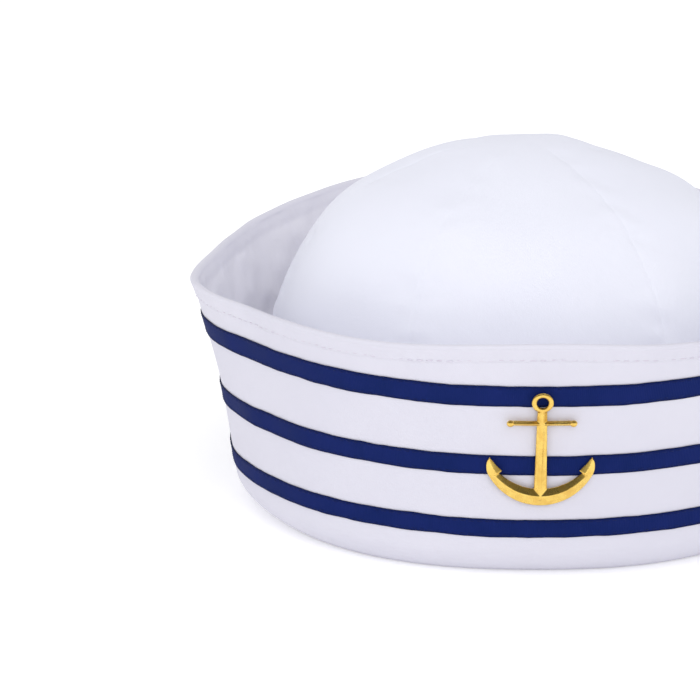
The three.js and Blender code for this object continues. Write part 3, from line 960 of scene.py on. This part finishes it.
# %% [markdown]
# ## The anchor
# The anchor is cast metal, flat behind and bevelled to a ridge in front. Its arms are part of a
# circle and end in flukes with a barb. A traced outline could be extruded, but it would have no
# ridge. Here each bar is a run of five-cornered sections, set at stations along its middle line,
# and the arms' stations are close enough for the curve to look smooth. In the arms the ridge leans
# inwards, so that the outer bevel is the broader one.

# %% The anchor's sizes and its bars
anchor_low, anchor_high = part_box("anchor")
ARM_RADIUS = 19.1 * MM
FLUKE_TURN = math.radians(81.4)
BARB = 0.74
CAST_EDGE = 0.7 * MM
CAST_RIDGE = 2.2 * MM
CAST_GAP = 1.05 * MM
ARM_LEAN = -0.24
EYE_RADIUS = 2.6 * MM
EYE_WIRE = 0.85 * MM
BALL_RADIUS = 1.2 * MM
STOCK_HALF = 9.9 * MM
STOCK_DROP = 7.5 * MM
SHANK_FOOT = 2.3 * MM
SHANK_HALVES = (2.2 * MM, 1.5 * MM)
SHANK_TOP_DROP = 2 * MM
STOCK_WIDE, STOCK_RIDGE = 0.9 * MM, 0.8

arm_middle = anchor_low.z + ARM_RADIUS
eye_height = anchor_high.z - EYE_RADIUS - EYE_WIRE
stock_height = eye_height - STOCK_DROP


def ridged_bar(cast, stations, lean=0.0):
    """Adds a bar to the casting. A station is x, z, the way across, half the width and the ridge.

    The lean moves the ridge off the middle, as a share of half the width.
    """
    rings = []
    for x, z, across, half, ridge in stations:
        section = [(-1, 0), (-1, CAST_EDGE), (lean, CAST_RIDGE), (1, CAST_EDGE), (1, 0)]
        rings.append([
            cast.verts.new((x + across[0] * half * side, z + across[1] * half * side, out * ridge))
            for side, out in section
        ])
    for ring, following in zip(rings, rings[1:]):
        for k in range(len(ring)):
            cast.faces.new([ring[k - 1], ring[k], following[k], following[k - 1]])
    cast.faces.new(rings[0])
    cast.faces.new(rings[-1][::-1])


def arm_station(share):
    """A station of the arms: share runs from -1 to 1, one fluke's tip to the other's.

    Its inner and outer edges are shares of the arms' radius, and its ridge of the full height.
    """
    size = abs(share)
    tip = max(0.0, (size - BARB) / (1 - BARB))
    if size < BARB:
        inner, outer, ridge = 0.7 + 0.22 * size**2, 1.0, 1 - 0.14 * (size / BARB) ** 1.5
    else:
        inner, outer, ridge = 0.752 + 0.12 * tip**1.25, 1 - 0.118 * tip**2.5, 0.86 - 0.46 * tip**1.2
    turn = FLUKE_TURN * share
    across = (math.sin(turn), -math.cos(turn))
    radius = ARM_RADIUS * (inner + outer) / 2
    half = ARM_RADIUS * (outer - inner) / 2
    return across[0] * radius, arm_middle + across[1] * radius, across, half, ridge


# %% Set the stations of the bars
ARM_STATIONS = 121
BARB_STEP = 0.002

barbs = [-BARB, -BARB + BARB_STEP, BARB - BARB_STEP, BARB]
arm_shares = sorted(list(np.linspace(-1, 1, ARM_STATIONS)) + barbs)
arm_stations = [arm_station(share) for share in arm_shares]
shank_ends = (anchor_low.z + SHANK_FOOT, eye_height - SHANK_TOP_DROP)
shank_stations = [(0, z, (1, 0), half, 1) for z, half in zip(shank_ends, SHANK_HALVES)]
stock_stations = [
    (x, stock_height, (0, -1), STOCK_WIDE, STOCK_RIDGE) for x in (-STOCK_HALF, STOCK_HALF)
]
print(f"anchor {(anchor_high.z - anchor_low.z) / MM:.1f} mm high,", len(arm_stations), "arm stations")

# %% [markdown]
# ## One casting, laid on the brim
# The bars, the eye and the stock's balls overlap. A boolean join would leave knife edges, and cast
# edges are always a little round. A fine voxel remesh fuses them into one even skin, and smoothing
# rounds every edge alike. The casting is made flat and then bent: each point goes round the brim
# by its distance from the middle, and stands off the brim's face by its height above the back.

# %% Cast the anchor and lay it on the brim's face
CAST_VOXEL = 0.17 * MM
BALL_LIFT = 1.0 * MM
EYE_LIFT = 1.1 * MM
EYE_STEPS = 48
WIRE_STEPS = 16


def flat_casting():
    cast = bmesh.new()
    ridged_bar(cast, arm_stations, ARM_LEAN)
    ridged_bar(cast, shank_stations)
    ridged_bar(cast, stock_stations)
    for side in (-1, 1):
        ball = bmesh.ops.create_uvsphere(cast, u_segments=24, v_segments=16, radius=BALL_RADIUS)
        place = (side * STOCK_HALF, stock_height, BALL_LIFT)
        bmesh.ops.translate(cast, verts=ball["verts"], vec=place)
    wire_turns = np.arange(WIRE_STEPS) * math.tau / WIRE_STEPS
    reach = EYE_RADIUS + EYE_WIRE * np.cos(wire_turns)
    lift = EYE_LIFT + EYE_WIRE * np.sin(wire_turns)
    rings = []
    for turn in np.arange(EYE_STEPS) * math.tau / EYE_STEPS:
        rings.append([
            cast.verts.new((far * math.sin(turn), eye_height + far * math.cos(turn), out))
            for far, out in zip(reach, lift)
        ])
    for n, ring in enumerate(rings):
        before = rings[n - 1]
        for k in range(len(ring)):
            cast.faces.new([before[k - 1], before[k], ring[k], ring[k - 1]])
    bmesh.ops.recalc_face_normals(cast, faces=cast.faces)
    mesh = bpy.data.meshes.new("anchor_flat")
    cast.to_mesh(mesh)
    cast.free()
    return mesh


def fused(mesh):
    """The mesh as one skin: remeshed by voxels, then smoothed, with the modifiers used up."""
    piece = put_in_scene("anchor_cast", mesh)
    remesh = piece.modifiers.new("Remesh", "REMESH")
    remesh.mode = "VOXEL"
    remesh.voxel_size = CAST_VOXEL
    soften = piece.modifiers.new("Smooth", "SMOOTH")
    soften.factor = 0.5
    soften.iterations = 3
    graph = bpy.context.evaluated_depsgraph_get()
    skin = bpy.data.meshes.new_from_object(piece.evaluated_get(graph), depsgraph=graph)
    piece.modifiers.clear()
    piece.data = skin
    return piece


def lay_on_face(mesh):
    flat = np.zeros(len(mesh.vertices) * 3)
    mesh.vertices.foreach_get("co", flat)
    sideways, height, out = flat.reshape(-1, 3).T
    turns = -np.arcsin(sideways / outside_radius(brim_tree, NEAR_FRONT, arm_middle))
    share = height / smooth_round(rim_looks, turns)
    terms = smooth_round(face_terms, turns)
    face = sum(term * share**k for k, term in enumerate(terms))
    placed = round_points(turns, face + CAST_GAP + out, height)
    mesh.vertices.foreach_set("co", placed.ravel())
    mesh.update()


anchor = fused(flat_casting())
lay_on_face(anchor.data)
anchor.data.shade_smooth()
print(f"anchor: {len(anchor.data.vertices)} points, {len(anchor.data.polygons)} faces")

# %% [markdown]
# ## Gold-coloured metal
# The cast surface is polished but not a mirror: slight dips and an uneven polish break up its
# reflections. The colour sits on the metal itself, warm yellow, and goes browner where tarnish
# gathers. Noise drives all of it, in the metal's own coordinates.

# %% The gold's material
def gold_metal():
    material, tree, shader = new_material("gold_cast")
    place = add_node(tree, "ShaderNodeTexCoord").outputs["Object"]
    tone = noise(tree, place, 260.0, 4.0)
    tarnish = spread(tree, tone, 0.35, 0.7)
    dips = noise(tree, place, 1100.0, 3.0)
    set_inputs(tree, shader, {
        "Base Color": mix_colour(tree, tarnish, (0.93, 0.66, 0.17, 1), (0.80, 0.50, 0.11, 1)),
        "Normal": relief(tree, dips, 0.03 * MM, 0.5),
        "Roughness": spread(tree, tone, 0.3, 0.7, 0.2, 0.34),
        "Metallic": 1.0,
    })
    return material


anchor.data.materials.clear()
anchor.data.materials.append(gold_metal())
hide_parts("anchor")
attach(anchor, "root")
print(f"the anchor's back is {CAST_GAP / MM:.2f} mm off the brim's smooth face")

# %% [markdown]
# ## The floor, the light and the camera
# The cap is pictured in a bright studio, on white. A white floor throws light up at the brim, an
# even sky fills in, and a large soft lamp in front gives the folds their shade, with a weaker one
# at the left. Metal needs something dark to mirror, so for reflections alone the lamps are hidden
# and the sky is dim overhead. The camera stands a little to the left of the front and fifteen
# degrees above it, with a long lens.

# %% Stage the cap
FLOOR_GLOW = 0.2
FLOOR_HALF = 4.0
FLOOR_DROP = 0.1 * MM
LAMP_AIM = 50 * MM


def make_floor():
    corners = [(-1, -1), (1, -1), (1, 1), (-1, 1)]
    points = [(x * FLOOR_HALF, y * FLOOR_HALF, -FLOOR_DROP) for x, y in corners]
    mesh = bpy.data.meshes.new("floor")
    mesh.from_pydata(points, [], [(0, 1, 2, 3)])
    material, tree, shader = new_material("white_paper")
    set_inputs(tree, shader, {
        "Base Color": (0.96, 0.96, 0.96, 1),
        "Emission Color": (1.0, 1.0, 1.0, 1),
        "Emission Strength": FLOOR_GLOW,
        "Roughness": 0.9,
        "Specular IOR Level": 0.1,
    })
    mesh.materials.append(material)
    floor = put_in_scene("floor", mesh)


def make_sky(strength, dim):
    world = bpy.data.worlds.new("studio")
    world.use_nodes = True
    tree = world.node_tree
    back = tree.nodes["Background"]
    path = add_node(tree, "ShaderNodeLightPath")
    place = add_node(tree, "ShaderNodeTexCoord").outputs["Generated"]
    up = add_node(tree, "ShaderNodeSeparateXYZ", {0: place}).outputs[2]
    overhead = spread(tree, up, 0.15, 0.5)
    mirrored = add_math(tree, "MULTIPLY", overhead, path.outputs["Is Glossy Ray"])
    level = spread(tree, mirrored, 0.0, 1.0, strength, dim)
    set_inputs(tree, back, {"Color": (1.0, 1.0, 1.0, 1), "Strength": level})
    bpy.context.scene.world = world


def point_at(thing, place, target):
    thing.location = place
    thing.rotation_mode = "QUATERNION"
    thing.rotation_quaternion = (target - place).to_track_quat("-Z", "Y")


def make_lamp(name, place, size, power):
    light = bpy.data.lights.new(name, "AREA")
    light.shape = "DISK"
    light.size = size
    light.energy = power
    lamp = put_in_scene(name, light)
    point_at(lamp, Vector(place), Vector((0, 0, LAMP_AIM)))
    lamp.visible_glossy = False


make_floor()
make_sky(strength=0.89, dim=0.10)
make_lamp("key", place=(0.3, -2.0, 1.3), size=1.5, power=12)
make_lamp("fill", place=(-1.8, -0.9, 1.2), size=1.5, power=5)
bpy.context.scene.view_settings.view_transform = "Standard"

# %% Place the camera
CAMERA_TURN = math.radians(3.371)
CAMERA_RISE = math.radians(14.979)
CAMERA_REACH = 1124.2 * MM
CAMERA_PIVOT = 47.0 * MM
AIM_HEIGHT = 49.7 * MM
AIM_SIDE = -62.0 * MM

eye = Vector((0, axis_y, CAMERA_PIVOT)) + way_out(CAMERA_TURN, CAMERA_RISE) * CAMERA_REACH
side_way = Vector((math.cos(CAMERA_TURN), -math.sin(CAMERA_TURN), 0))
aim = Vector((0, axis_y, AIM_HEIGHT)) + side_way * AIM_SIDE
camera = put_in_scene("camera", bpy.data.cameras.new("camera"))
camera.data.sensor_width = 36
camera.data.lens = 161.0
camera.data.clip_start = 0.05
point_at(camera, eye, aim)
bpy.context.scene.camera = camera
print("camera at", [round(value, 4) for value in eye])
